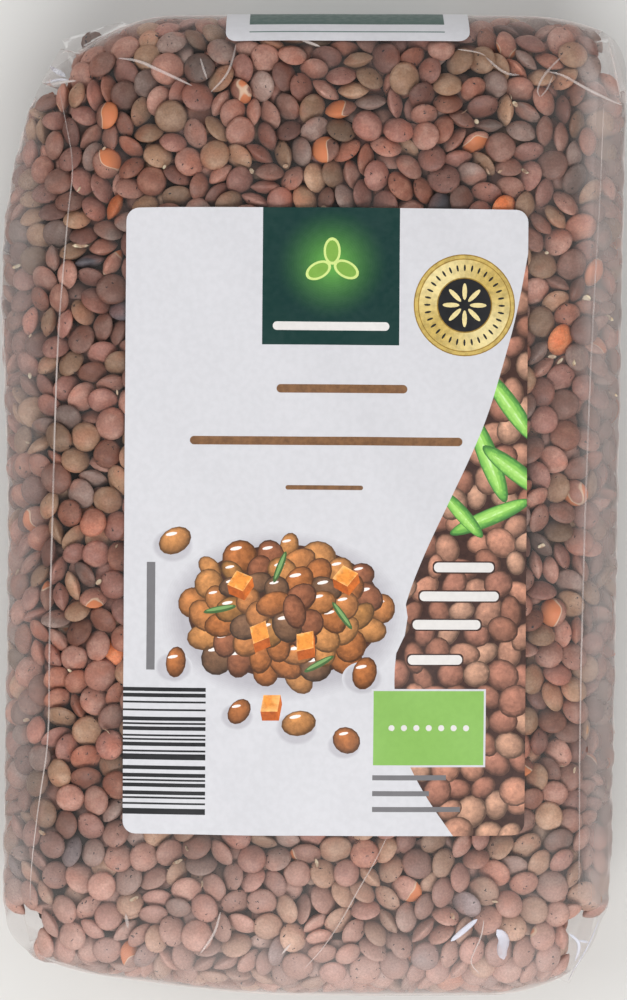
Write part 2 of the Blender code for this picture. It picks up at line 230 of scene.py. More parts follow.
class NodeKit:  # short calls for the nodes of one material or group
    def __init__(self, tree):
        self.nodes, self.links = tree.nodes, tree.links

    def put(self, socket, value):  # a fixed value, or the output of another node
        if isinstance(value, bpy.types.NodeSocket):
            self.links.new(value, socket)
        else:
            socket.default_value = (*value, 1.0) if socket.type == "RGBA" else value

    def feed(self, node, *values, **named):
        for key, value in [*enumerate(values), *named.items()]:
            self.put(node.inputs[key if isinstance(key, int) else key.replace("_", " ")], value)
        return node

    def add(self, kind, *values, operation=None, **named):
        node = self.nodes.new(kind)
        if operation:
            node.operation = operation
        return self.feed(node, *values, **named)

    def place(self):  # Object coordinates
        if "place" not in self.nodes:
            self.nodes.new("ShaderNodeTexCoord").name = "place"
        return self.nodes["place"].outputs["Object"]

    def noise(self, output="Fac", **named):
        return self.add("ShaderNodeTexNoise", Vector=self.place(), **named).outputs[output]

    def attribute(self, title, output="Fac"):
        node = self.nodes.new("ShaderNodeAttribute")
        node.attribute_name = title
        return node.outputs[output]

    def math(self, operation, first, second):
        return self.add("ShaderNodeMath", first, second, operation=operation).outputs[0]

    def mix(self, factor, first, second, blending="MIX"):
        node = self.nodes.new("ShaderNodeMix")
        node.data_type = "RGBA"
        node.blend_type = blending
        for index, value in ((0, factor), (6, first), (7, second)):
            self.put(node.inputs[index], value)
        return node.outputs[2]

    def brighten(self, colour, value):
        return self.add("ShaderNodeHueSaturation", Color=colour, Value=value).outputs["Color"]

    def range(self, source, fromLow, fromHigh, low, high):
        node = self.nodes.new("ShaderNodeMapRange")
        node.interpolation_type = "SMOOTHSTEP"
        return self.feed(node, source, fromLow, fromHigh, low, high).outputs[0]

    def ramp(self, source, *stops):
        node = self.add("ShaderNodeValToRGB", source)
        for element, (place, colour) in zip(node.color_ramp.elements, stops):
            element.position = place
            element.color = (*colour, 1.0)
        return node.outputs[0]

    def bump(self, height, strength, distance):
        node = self.add("ShaderNodeBump", Height=height, Strength=strength, Distance=distance)
        return node.outputs["Normal"]


def newMaterial(name):
    material = bpy.data.materials.new(name)
    material.use_nodes = True
    return material, NodeKit(material.node_tree), material.node_tree.nodes["Principled BSDF"]


def linear(*parts):  # screen colour 0-255 to the shader's linear colour
    shares = [part / 255 for part in parts]
    return tuple(v / 12.92 if v < 0.04045 else ((v + 0.055) / 1.055) ** 2.4 for v in shares)


# Film: one sheet rolled round the contents and closed at both ends

filmSteps = {"frontStep": 0.75, "sideStep": 0.9, "backStep": 1.7, "alongStep": 0.8}
pressing = {
    "start": 2.0, "reach": 6.0, "nothing": 4.0, "share": 0.7, "most": 0.5, "clear": 0.06, "labelMargin": 2.5,
    "underside": 0.4,
}


def ringPoints(frontStep, sideStep, backStep, alongStep):  # the film as rings, bottom end to top end
    x, z = sectionAround(frontStep, sideStep, backStep)
    y, inset = np.array(rowsAlong(alongStep)).T[:, :, None]
    acrossX = x * (1 - inset / halfWidth)
    acrossZ = halfThick + (z - halfThick) * (1 - inset / halfThick)
    return slumped(acrossX, y + 0 * acrossX, acrossZ)


def rolled(name, rings, attributes=None, sharpAngle=24):  # a grid rolled up and closed at both ends
    rowCount, columnCount = rings.shape[:2]
    deselectAll()
    bpy.ops.mesh.primitive_grid_add(x_subdivisions=columnCount, y_subdivisions=rowCount - 1, size=2)
    sheet = bpy.context.object
    sheet.name = sheet.data.name = name
    flat = readPoints(sheet.data)
    column = np.rint((flat[:, 0] + 1) / 2 * columnCount).astype(int) % columnCount
    row = np.rint((flat[:, 1] + 1) / 2 * (rowCount - 1)).astype(int)
    writePoints(sheet.data, rings[row, column] * mm)
    for title, values in (attributes or {}).items():
        writeValues(sheet.data, title, values[row, column])
    with editing(sheet):
        bpy.ops.mesh.remove_doubles(threshold=0.00001)
        bpy.ops.mesh.fill_holes(sides=0)
        bpy.ops.mesh.select_face_by_sides(number=4, type="GREATER", extend=False)
        bpy.ops.mesh.quads_convert_to_tris(quad_method="BEAUTY", ngon_method="BEAUTY")
        bpy.ops.mesh.select_all(action="SELECT")
        bpy.ops.mesh.normals_make_consistent(inside=False)
    bpy.ops.object.shade_smooth_by_angle(angle=math.radians(sharpAngle))
    return sheet


# Corners that no lentils have slid into: x, y and radius
emptyPockets = (
    (50.4, -79.0, 4.2), (47.6, -75.6, 1.8), (-50.6, -75.2, 2.0), (-46.8, 77.8, 2.8), (54.6, 80.0, 3.2),
)


class RoomInside:  # the room in the film, measured once on a grid
    def __init__(self, shell, step):
        tree = BVHTree.FromObject(shell, bpy.context.evaluated_depsgraph_get())
        low, high = (np.array(corner) for corner in cadBox)
        self.step = step
        self.low = low / mm - 2 * step
        self.count = np.ceil((high / mm - low / mm + 4 * step) / step).astype(int) + 1
        self.depths = np.empty(self.count)
        for index in np.ndindex(*self.count):
            place = Vector(self.low + np.array(index) * step) * mm
            found, normal, _, distance = tree.find_nearest(place)
            side = -1 if (place - found).dot(normal) > 0 else 1
            self.depths[index] = side * distance / mm
        grid = (low + step * np.arange(n) for low, n in zip(self.low, self.count))
        x, y, _ = np.meshgrid(*grid, indexing="ij")
        for pocketX, pocketY, radius in emptyPockets:
            self.depths = np.minimum(self.depths, np.hypot(x - pocketX, y - pocketY) - radius)
        self.slopes = np.stack(np.gradient(self.depths, step), axis=-1)

    def at(self, points):  # depth below the film and the direction that leads deeper
        spot = (points - self.low) / self.step
        base = np.clip(np.floor(spot).astype(int), 0, self.count - 2)
        part = np.clip(spot - base, 0, 1)
        depth, slope = 0.0, 0.0
        for corner in np.ndindex(2, 2, 2):
            share = np.prod(np.where(np.array(corner), part, 1 - part), axis=1)
            i, j, k = (base + corner).T
            depth = depth + share * self.depths[i, j, k]
            slope = slope + share[:, None] * self.slopes[i, j, k]
        return depth, slope / np.maximum(np.linalg.norm(slope, axis=1, keepdims=True), 1e-6)


coarseFilm = rolled("measuringFilm", ringPoints(3.0, 2.4, 4.0, 2.4))
room = RoomInside(coarseFilm, 2.0)
bpy.data.objects.remove(coarseFilm)
print("room measured")


# Lentils: packed against the film like ones that have settled in a full bag

lentil = {
    "radius": (2.4, 3.0), "halfThick": (1.2, 1.5), "layer": 8.0, "fill": 0.67, "rounds": 180,
    "skin": 0.14, "contactShare": 0.94, "seed": 29, "roundness": 1.7, "fineAbove": 3.6, "touchAbove": 4.5,
}
settling = {  # what moves in one round
    "step": 0.55, "farthest": 0.8, "tilt": 0.06, "mostTilt": 0.3, "flatten": 0.16, "outer": 2.6,
    "outerFlatten": 0.004, "hold": 0.5, "outward": 0.05, "drift": 0.012, "pairsEvery": 10, "lastRounds": 4,
}
lentilKinds = {  # share, colour of the seed coat, lighter bloom, and how often it has dark specks
    "pinkLentils": (0.28, linear(157, 112, 97), linear(176, 136, 121), 0.56),
    "roseLentils": (0.22, linear(146, 100, 88), linear(165, 122, 109), 0.58),
    "tanLentils": (0.21, linear(158, 122, 96), linear(174, 142, 118), 0.66),
    "russetLentils": (0.125, linear(146, 94, 76), linear(167, 117, 97), 0.56),
    "greyLentils": (0.112, linear(138, 112, 102), linear(156, 134, 124), 0.45),
    "chippedLentils": (0.035, linear(156, 108, 92), linear(174, 130, 112), 0.5),
    "slateLentils": (0.008, linear(92, 88, 94), linear(120, 114, 118), 0.6),
    "hulledLentils": (0.01, linear(220, 122, 70), linear(226, 142, 94), 0.1),
}

# One that has slid into the flat corner at the top left
looseLentil = {
    "place": (-40.2, 84.0, 13.0), "axis": (0.24, -0.19, 0.95), "radius": 2.3, "half": 1.2,
    "kind": 4, "tone": -1.3,
}


def scatterLentils():
    draw = np.random.default_rng(lentil["seed"])
    inShell = (room.depths > 1.0) & (room.depths < lentil["layer"])
    seedVolume = 4 / 3 * math.pi * np.mean(lentil["radius"]) ** 2 * np.mean(lentil["halfThick"])
    count = int(lentil["fill"] * inShell.sum() * room.step ** 3 / seedVolume)
    cells = np.argwhere(inShell)
    chosen = cells[draw.integers(0, len(cells), count)]
    places = room.low + (chosen + draw.uniform(-0.5, 0.5, (count, 3))) * room.step
    axes = draw.normal(size=(count, 3))
    _, inward = room.at(places)
    axes = unit(axes + inward * draw.normal(0, 1.1, (count, 1)))  # more lie flat against the film
    size = draw.beta(2.2, 2.0, count)
    radii = lentil["radius"][0] + (lentil["radius"][1] - lentil["radius"][0]) * size
    halves = draw.uniform(*lentil["halfThick"], count)
    return places, axes, radii, halves, draw


def closePairs(places, reach):
    tree = KDTree(len(places))
    for i, place in enumerate(places):
        tree.insert(place, i)
    tree.balance()
    pairs = [(i, j) for i, place in enumerate(places) for _, j, _ in tree.find_range(place, reach) if j > i]
    return np.array(pairs).T


def addAt(total, index, amount):
    for axis in range(3):
        total[:, axis] += np.bincount(index, amount[:, axis], len(total))


def belowFilm(places, axes, radii, halves):  # depth, way in, slant, and how far each must still sink
    depth, inward = room.at(places)
    facing = (axes * inward).sum(1)
    half = np.sqrt(radii ** 2 * (1 - facing ** 2) + halves ** 2 * facing ** 2)
    return depth, inward, facing, np.maximum(0.0, half + lentil["skin"] - depth)


def settleLentils():
    places, axes, radii, halves, draw = scatterLentils()
    flatness = np.mean(lentil["halfThick"]) / np.mean(lentil["radius"])
    shape = (flatness ** 2 - 1) / (flatness ** 2 + 1)
    for turn in range(lentil["rounds"]):
        if turn % settling["pairsEvery"] == 0:
            first, second = closePairs(places, 2 * lentil["radius"][1] + 1.0)
        ease = 1 - turn / lentil["rounds"]
        between = places[second] - places[first]
        apart = np.maximum(np.linalg.norm(between, axis=1), 1e-4)
        line = between / apart[:, None]
        u = (line * axes[first]).sum(1)
        v = (line * axes[second]).sum(1)
        w = (axes[first] * axes[second]).sum(1)
        plus, minus = (u + v) / (1 + shape * w), (u - v) / (1 - shape * w)
        squeeze = 1 - shape / 2 * ((u + v) * plus + (u - v) * minus)
        reach = (radii[first] + radii[second]) * lentil["contactShare"] / np.sqrt(squeeze)
        overlap = np.maximum(0.0, reach - apart)
        push = line * (0.5 * overlap)[:, None]
        move, tilt = np.zeros_like(places), np.zeros_like(places)
        addAt(move, first, -push)
        addAt(move, second, push)
        slopeU = -shape * (plus + minus)
        slopeV = -shape * (plus - minus)
        slopeW = shape ** 2 / 2 * (plus ** 2 - minus ** 2)
        gain = (0.5 * reach / squeeze * overlap * settling["tilt"])[:, None]  # less reach, less overlap
        addAt(tilt, first, gain * (slopeU[:, None] * line + slopeW[:, None] * axes[second]))
        addAt(tilt, second, gain * (slopeV[:, None] * line + slopeW[:, None] * axes[first]))
        places += np.clip(move * settling["step"], -settling["farthest"], settling["farthest"])
        axes = unit(axes + np.clip(tilt, -settling["mostTilt"], settling["mostTilt"]))
        depth, inward, facing, short = belowFilm(places, axes, radii, halves)
        pressed = np.minimum(short, 0.5) * settling["flatten"]
        pressed = pressed + (depth < settling["outer"]) * settling["outerFlatten"]
        axes = unit(axes + inward * (np.sign(facing) * pressed)[:, None])
        beyond = np.maximum(0.0, depth - (lentil["layer"] - 1.0))
        sink = short - settling["hold"] * beyond - settling["outward"] * ease - settling["drift"]
        places += inward * sink[:, None]
    for _ in range(settling["lastRounds"]):
        _, inward, _, short = belowFilm(places, axes, radii, halves)
        places += inward * short[:, None]
    return places, axes, radii, halves, room.at(places)[0], draw


def hiddenUnderLabel(places):  # deep under the front label nothing can be seen
    x = places[:, 0] - labelMiddle.x
    y = places[:, 1] - labelMiddle.y
    margin = 7.0
    return (
        (places[:, 2] > frontZone) & (np.abs(x) < frontLabel["width"] / 2 - margin)
        & (np.abs(y) < frontLabel["length"] / 2 - margin)
    )


def lentilShapes(segments, rings, count, seed):
    draw = random.Random(seed)
    deselectAll()
    bpy.ops.mesh.primitive_uv_sphere_add(segments=segments, ring_count=rings, radius=1)
    ball = bpy.context.object
    with editing(ball):
        bpy.ops.mesh.quads_convert_to_tris()
    points = readPoints(ball.data)
    faces = np.array([list(face.vertices) for face in ball.data.polygons])
    bpy.data.objects.remove(ball)
    around = np.arctan2(points[:, 1], points[:, 0])
    rim = 1 - np.abs(points[:, 2])
    shapes = []
    for _ in range(count):
        wobble = 1 + draw.uniform(0, 0.03) * np.cos(2 * around + draw.uniform(0, 6))
        wobble += draw.uniform(0, 0.016) * np.cos(3 * around + draw.uniform(0, 6))
        wobble -= draw.uniform(0.0, 0.05) * np.exp(-((around - draw.uniform(-3, 3)) / 0.35) ** 2)
        lens = np.sign(points[:, 2]) * np.abs(points[:, 2]) ** lentil["roundness"]
        uneven = 1 + 0.1 * draw.uniform(-1, 1) * points[:, 0] + 0.1 * draw.uniform(-1, 1) * points[:, 1]
        shapes.append(np.stack([points[:, 0] * wobble, points[:, 1] * wobble, lens * uneven], axis=1))
    return shapes, faces, rim


def buildLentils():
    places, axes, radii, halves, depth, draw = settleLentils()
    shown = ~hiddenUnderLabel(places)
    places, axes, radii, halves, depth = (a[shown] for a in (places, axes, radii, halves, depth))
    places = np.vstack([places, looseLentil["place"]])
    axes = np.vstack([axes, looseLentil["axis"]])
    radii = np.append(radii, looseLentil["radius"])
    halves = np.append(halves, looseLentil["half"])
    depth = np.append(depth, lentil["layer"])
    count = len(places)
    side = unit(np.cross(axes, draw.normal(size=(count, 3))))
    third = np.cross(axes, side)
    tones = draw.normal(0, 1, count)
    specks = draw.uniform(0, 1, count)
    kinds = draw.choice(len(lentilKinds), count, p=[kind[0] for kind in lentilKinds.values()])
    kinds[-1], tones[-1] = looseLentil["kind"], looseLentil["tone"]
    fine = lentilShapes(20, 6, 8, 3)
    plain = lentilShapes(12, 4, 6, 4)
    made = []
    for k, name in enumerate(lentilKinds):
        allPoints, allFaces, allTones, allRims, allSpecks, start = [], [], [], [], [], 0
        for i in np.flatnonzero(kinds == k):
            shapes, faces, rim = fine if depth[i] < lentil["fineAbove"] else plain
            shape = shapes[i % len(shapes)] * (radii[i], radii[i], halves[i])
            allPoints.append(places[i] + shape @ np.stack([side[i], third[i], axes[i]]))
            allFaces.append(faces + start)
            allTones.append(np.full(len(shape), tones[i]))
            allSpecks.append(np.full(len(shape), specks[i]))
            allRims.append(rim)
            start += len(shape)
        piece = meshPiece(name, np.concatenate(allPoints) * mm, np.concatenate(allFaces).tolist())
        for title, values in (("tone", allTones), ("rim", allRims), ("speckled", allSpecks)):
            writeValues(piece.data, title, np.concatenate(values))
        made.append(piece)
    print("lentils settled:", count, "triangles", [len(piece.data.polygons) for piece in made])
    outer = depth < lentil["touchAbove"]
    return made, nearestSurface(places, axes, side, third, radii, halves, outer)


def nearestSurface(places, axes, side, third, radii, halves, outer):  # plain lentils for the film to lie on
    shapes, faces, _ = lentilShapes(14, 6, 1, 4)
    points, corners = [], []
    for start, i in enumerate(np.flatnonzero(outer)):
        shape = shapes[0] * (radii[i], radii[i], halves[i]) * 1.04
        points.append(places[i] + shape @ np.stack([side[i], third[i], axes[i]]))
        corners.append(faces + start * len(shape))
    return BVHTree.FromPolygons(np.concatenate(points).tolist(), np.concatenate(corners).tolist())


lentilPieces, lentilSurface = buildLentils()


def spread(values, times):  # even out values over the rings' neighbours
    for _ in range(times):
        ends = np.concatenate([values[:1], values, values[-1:]])
        values = (2 * values + ends[2:] + ends[:-2] + np.roll(values, 1, 1) + np.roll(values, -1, 1)) / 6
    return values


def pressedFilm():  # the film drawn in a little between the lentils
    rings = ringPoints(**filmSteps)
    along = np.gradient(rings, axis=0)
    around = np.roll(rings, -1, 1) - np.roll(rings, 1, 1)
    outward = unit(np.cross(along, around))
    outward *= np.sign((outward * (rings - (0, 0, halfThick))).sum(2).mean())
    gap = np.empty(rings.shape[:2])
    for index in np.ndindex(*gap.shape):
        start = Vector(rings[index] + outward[index] * pressing["start"])
        hit = lentilSurface.ray_cast(start, Vector(-outward[index]), pressing["reach"])[3]
        gap[index] = pressing["nothing"] if hit is None else hit - pressing["start"]
    x, y = rings[..., 0] - labelMiddle.x, rings[..., 1] - labelMiddle.y
    beside = np.maximum(np.abs(x) - frontLabel["width"] / 2, np.abs(y) - frontLabel["length"] / 2)
    free = np.where(rings[..., 2] > frontZone, soften(beside / pressing["labelMargin"]), 1.0)
    ended = soften((halfLength - 4 - np.abs(rings[..., 1])) / 4)
    ends = np.minimum.reduce([np.roll(gap, (i, j), (0, 1)) for i in (-1, 0, 1) for j in (-1, 0, 1)])
    touching = ends - pressing["clear"]  # never through a lentil beside the point
    drawn = np.clip(gap * pressing["share"], -1.5, pressing["most"]) * np.minimum(free, ended)
    for _ in range(5):
        drawn = np.minimum(spread(drawn, 1), touching)
    drawn = np.where(free < 1, np.maximum(drawn, -0.06), drawn)
    rings = rings - outward * drawn[..., None]
    loose = spread(np.clip((gap - drawn - 0.2) / 1.6, 0, 1), 2)
    x, y, z = np.moveaxis(rings, -1, 0)
    empty = np.max([
        soften((radius + 4.5 - np.hypot(x - px - 0.6 * np.sign(px), y - py - 0.6 * np.sign(py))) / 3.0)
        for px, py, radius in emptyPockets
    ], axis=0)
    sheet = rolled("clearFilm", rings, {"loose": loose, "empty": empty})
    return sheet, rings - outward * pressing["underside"], loose * (z > 12) * free


film, insideFilm, looseness = pressedFilm()
filmSurface = BVHTree.FromObject(film, bpy.context.evaluated_depsgraph_get())
print("film rolled and pressed,", len(film.data.polygons), "faces")


# Pale flakes of husk that cling in the gaps, and where the broad ones are

flake = {
    "count": 46, "seed": 17, "looseFrom": 0.35, "within": 73.0,
    "broad": ((48.6, 36.6), (46.2, 25.9), (-41.6, 46.0)),
}


def buildFlakes():
    draw = np.random.default_rng(flake["seed"])
    level = insideFilm[..., 2]
    within = np.abs(insideFilm[..., 1]) < flake["within"]
    spots = insideFilm[(looseness > flake["looseFrom"]) & (level > frontZone) & within]
    shapes, faces, _ = lentilShapes(8, 4, 5, 9)
    points, corners = [], []
    upper = insideFilm[level > 18]
    for i in range(flake["count"]):
        turned = Matrix.Rotation(draw.uniform(0, 6.3), 3, draw.normal(size=3) + (0, 0, 2))
        size = np.array([draw.uniform(0.4, 1.1), draw.uniform(0.15, 0.45), 0.05])
        spot = spots[draw.integers(len(spots))]
        if i < len(flake["broad"]):
            size *= (1.8, 2.8, 1.0)
            spot = upper[np.hypot(*(upper[:, :2] - flake["broad"][i]).T).argmin()]
        bent = shapes[i % 5] * size
        bent[:, 2] += 0.25 * bent[:, 0] ** 2
        points.append(spot + bent @ np.array(turned))
        corners.append(faces + i * len(bent))
    return meshPiece("huskFlakes", np.concatenate(points) * mm, np.concatenate(corners).tolist())


flakes = buildFlakes()


# Painted shade: a dark sheet behind the loose layers that stands in for the shaded heart of the heap

def buildHeapShade():
    core = rolled("heapShadeSheet", ringPoints(4.0, 3.0, 5.0, 3.0))
    with editing(core):
        bpy.ops.transform.shrink_fatten(value=-6.4 * mm)
    return core


core = buildHeapShade()


# Shader groups

def seedCoatGroup():
    group = bpy.data.node_groups.new("seedCoat", "ShaderNodeTree")
    for way, kind, names in (
        ("INPUT", "NodeSocketColor", ("Coat", "Bloom")),
        ("INPUT", "NodeSocketFloat", ("Tone", "Rim", "Speckled", "Speck Share")),
        ("OUTPUT", "NodeSocketColor", ("Colour",)),
        ("OUTPUT", "NodeSocketFloat", ("Roughness", "Height")),
    ):
        for name in names:
            group.interface.new_socket(name=name, in_out=way, socket_type=kind)
    kit = NodeKit(group)
    entry, leave = kit.add("NodeGroupInput").outputs, kit.add("NodeGroupOutput")
    mottle = kit.noise(Scale=420.0, Detail=3.0, Roughness=0.6)
    grain = kit.noise(Scale=2600.0, Detail=2.0)
    warp = kit.noise("Color", Scale=2400.0, Detail=2.0)
    blush = kit.noise(Scale=170.0, Detail=1.0)
    colour = kit.mix(kit.range(mottle, 0.42, 0.68, 0.0, 1.0), entry["Coat"], entry["Bloom"])
    colour = kit.mix(kit.range(blush, 0.5, 0.68, 0.0, 0.3), colour, linear(182, 106, 78))
    colour = kit.mix(kit.range(entry["Rim"], 0.93, 1.0, 0.0, 0.35), colour, entry["Bloom"])
    colour = kit.brighten(colour, kit.range(entry["Tone"], -2.2, 2.2, 0.48, 1.34))
    along = kit.add("ShaderNodeSeparateXYZ", kit.place()).outputs["Y"]
    colour = kit.mix(kit.range(along, -0.044, -0.088, 0.0, 0.4), colour, linear(226, 190, 177))  # paler pink towards the bottom end
    colour = kit.brighten(colour, kit.range(grain, 0.3, 0.7, 0.86, 1.08))
    bent = kit.add("ShaderNodeVectorMath", warp, (0.0013,) * 3, kit.place(), operation="MULTIPLY_ADD")
    cells = kit.add("ShaderNodeTexVoronoi", Vector=bent.outputs[0], Scale=700.0, Randomness=1.0)
    dot = kit.range(cells.outputs["Distance"], 0.115, 0.165, 1.0, 0.0)
    picked = kit.math("LESS_THAN", entry["Speckled"], entry["Speck Share"])
    colour = kit.mix(kit.math("MULTIPLY", dot, picked), colour, (0.018, 0.016, 0.018))
    kit.feed(leave, Colour=colour, Roughness=kit.range(mottle, 0.3, 0.7, 0.52, 0.68), Height=grain)
    return group


seedCoat = seedCoatGroup()


def lentilMaterial(name, coat, bloom, speckShare, chipped=False):
    material, kit, shader = newMaterial(name)
    group = kit.nodes.new("ShaderNodeGroup")
    group.node_tree = seedCoat
    kit.feed(group, Coat=coat, Bloom=bloom, Tone=kit.attribute("tone"), Rim=kit.attribute("rim"),
             Speckled=kit.attribute("speckled"), Speck_Share=speckShare)
    colour = group.outputs["Colour"]
    if chipped:  # the coat has flaked off in patches and shows the orange seed inside
        patches = kit.noise(Scale=130.0, Detail=1.0, Roughness=0.3)
        colour = kit.mix(kit.range(patches, 0.53, 0.54, 0.0, 1.0), colour, linear(206, 176, 150))
        colour = kit.mix(kit.range(patches, 0.545, 0.555, 0.0, 1.0), colour, linear(204, 124, 80))
    kit.feed(shader, Base_Color=colour, Roughness=group.outputs["Roughness"],
             Normal=kit.bump(group.outputs["Height"], 0.25, 0.00008))
    return material


for piece, (name, (_, coat, bloom, specks)) in zip(lentilPieces, lentilKinds.items()):
    coatMaterial = lentilMaterial(name + "Coat", coat, bloom, specks, name == "chippedLentils")
    finishPiece(piece, coatMaterial, ["lentil_bag"])

huskMaterial, huskKit, huskShader = newMaterial("drySkin")
huskNoise = huskKit.noise(Scale=900.0, Detail=2.0)
huskTint = huskKit.ramp(huskNoise, (0.35, linear(172, 134, 108)), (0.65, linear(216, 204, 174)))
huskKit.feed(huskShader, Base_Color=huskTint, Roughness=0.6)
finishPiece(flakes, huskMaterial, ["lentil_bag"])

# painted shade: the dark colour of the heap's hidden heart
heartMaterial, heartKit, heartShader = newMaterial("heapShade")
heartKit.feed(heartShader, Base_Color=linear(34, 21, 17), Roughness=0.9)
finishPiece(core, heartMaterial, ["lentil_bag"])


# Where the film lies in folds: (x, y) of each bend, width and height in the middle, in mm
foldLines = {
    "leftCrease": (
        ((-45.6, 74.6), (-44.2, 68.4), (-42.6, 60.4), (-43.5, 53.3), (-44.2, 45.4), (-45.6, 27.6),
         (-46.3, 1.0), (-47.0, -25.6), (-47.0, -41.6), (-48.8, -52.2), (-50.4, -64.6),
         (-50.6, -70.8)), 0.32, 0.2,
    ),
    "rightCrease": (
        ((51.6, 70.7), (50.9, 54.2), (49.5, 32.9), (48.3, 4.5), (47.5, -23.8), (47.2, -45.1),
         (47.2, -70.0)), 0.34, 0.2,
    ),
    "topLeftFold": (((-45.2, 80.8), (-40.2, 83.5), (-33.9, 86.2)), 0.4, 0.25),
    "topLeftBase": (((-48.5, 75.4), (-45.5, 75.6), (-42.3, 75.6)), 0.5, 0.3),
    "topRightFold": (
        ((41.5, 76.9), (42.8, 76.7), (44.5, 76.2), (48.1, 74.1), (51.7, 72.5), (55.2, 71.7)), 0.5, 0.3,
    ),
    "topRightEdge": (((52.7, 82.9), (53.8, 77.9), (54.9, 72.9)), 0.35, 0.25),
    "topCrease": (((30.4, 79.2), (32.7, 77.1), (34.5, 76.2), (36.4, 76.2)), 0.45, 0.3),
    "topCreaseHigh": (((25.4, 80.6), (29.2, 80.1), (30.4, 79.4)), 0.25, 0.15),
    "loopOut": (((43.9, 79.6), (40.8, 76.4), (39.4, 73.4), (40.1, 72.3)), 0.4, 0.3),
    "loopBack": (((40.1, 72.3), (41.4, 73.7), (42.4, 76.2)), 0.3, 0.25),
    "streakLong": (((-34.8, 79.4), (-31.0, 78.8), (-28.3, 77.4), (-25.3, 76.0), (-21.6, 74.2)), 0.55, 0.25),
    "streakShort": (((-20.1, 79.1), (-19.6, 77.3), (-18.9, 75.3)), 0.4, 0.2),
    "streakBent": (((-13.8, 81.5), (-14.3, 78.8), (-15.4, 75.8), (-18.2, 73.0)), 0.4, 0.25),
    "streakTop": (((-2.5, 82.3), (-0.7, 81.7), (1.1, 81.0)), 0.5, 0.2),
    "lowTick": (((-33.3, -72.3), (-32.9, -74.9)), 0.6, 0.25),
    "lowFold": (((-16.5, -71.8), (-17.4, -75.4), (-19.2, -78.1), (-20.1, -79.2)), 0.45, 0.25),
    "lowNick": (((-4.1, -77.3), (-5.7, -79.3)), 0.4, 0.2),
    "lowLine": (
        ((12.9, -58.4), (10.6, -63.2), (7.6, -68.2), (5.3, -72.6), (1.8, -77.9), (-1.8, -82.0)), 0.22, 0.12,
    ),
    "lowArc": (((30.1, -73.4), (29.7, -76.4), (28.3, -79.1), (27.6, -81.2), (29.4, -83.2)), 0.3, 0.2),
}
gleamLines = {  # the few pinches whose pale bluish milk paints the highlights they show
    "lowSheen": (((24.2, -77.1), (26.3, -75.4), (28.9, -73.3)), 1.0, 0.3),
    "lowGleam": (((32.4, -75.2), (33.9, -76.9), (33.2, -78.8), (33.7, -80.6)), 2.0, 0.4),
    "earSpark": (((45.4, -76.3), (47.3, -77.9), (47.6, -79.6), (46.9, -81.9)), 0.6, 0.3),
    "earSparkShort": (((47.4, -77.9), (49.4, -78.6)), 0.5, 0.25),
    "earEdge": (((51.4, -74.6), (49.4, -79.2), (47.4, -83.0), (45.9, -86.0)), 0.25, 0.15),
    "topLeftSpark": (((-47.4, 78.8), (-45.6, 77.6), (-44.4, 76.6)), 0.9, 0.3),
    "topLeftSparkLow": (((-48.2, 76.0), (-45.9, 76.3), (-43.8, 75.9)), 0.5, 0.25),
}

# The empty film corners: x, y, z of two inner and two outer points, depth, and seed
filmCorners = {
    "topLeftCorner": ((-45.0, 74.4, 20.0), (-40.5, 81.6, 18.0),
                      (-48.9, 75.6, 25.0), (-45.3, 81.6, 25.0), 5.0, 11),
    "topLeftFlap": ((-44.0, 79.5, 13.0), (-30.0, 86.0, 13.0),
                    (-45.8, 84.8, 13.0), (-35.0, 88.0, 13.0), 7.0, 15),
    "topRightCorner": ((45.0, 82.2, 24.0), (49.5, 71.0, 26.0),
                       (53.3, 83.6, 25.0), (56.4, 72.2, 25.0), 8.0, 12),
    "lowRightCorner": ((45.0, -71.5, 19.0), (41.0, -84.5, 18.0),
                       (51.6, -73.6, 19.0), (46.2, -86.4, 19.0), 8.0, 13),
    "lowLeftCorner": ((-44.0, -67.0, 17.0), (-45.0, -77.0, 17.0),
                      (-53.4, -71.4, 17.0), (-51.4, -79.0, 17.0), 7.0, 14),
}


def throughBends(bends, spacing):  # an even, rounded line through the bends
    bends = np.array(bends, float)
    for _ in range(2):
        inner = np.repeat(bends, 2, axis=0)[1:-1]
        cut = 0.75 * inner[::2] + 0.25 * inner[1::2], 0.25 * inner[::2] + 0.75 * inner[1::2]
        bends = np.vstack([bends[:1], np.stack(cut, axis=1).reshape(-1, bends.shape[1]), bends[-1:]])
    travel = np.concatenate([[0], np.cumsum(np.linalg.norm(np.diff(bends, axis=0), axis=1))])
    steps = np.linspace(0, travel[-1], max(5, int(travel[-1] / spacing)))
    return np.stack([np.interp(steps, travel, axis) for axis in bends.T], axis=1)


def layFold(name, bends, width, height):  # a slim pinch of film that tapers to both ends
    line = throughBends(bends, 0.5)
    tops = []
    for x, y in line:
        found = filmSurface.ray_cast(Vector((x, y, 60)) * mm, Vector((0, 0, -1)))[0]
        tops.append(found.z / mm if found else (tops[-1] if tops else 25.0))
    path = np.column_stack([line, spread(np.array(tops)[:, None], 2)[:, 0] + 0.05])
    across = unit(np.cross(np.gradient(path, axis=0), (0, 0, 1)))
    return pinchAlong(name, path, across, (0, 0, 1), width, height)


def pinchAlong(name, path, across, away, width, height):
    share = np.linspace(0, 1, len(path))
    taper = np.sqrt(np.clip(4 * share * (1 - share), 0.004, 1)) ** 0.8
    turns = np.arange(8) * math.tau / 8
    out = (width / 2 * taper)[:, None, None] * np.cos(turns)[None, :, None] * across[:, None, :]
    up = (height * taper)[:, None, None] * np.sin(turns)[None, :, None] * np.array(away, float)
    return rolled(name, path[:, None, :] + out + up)


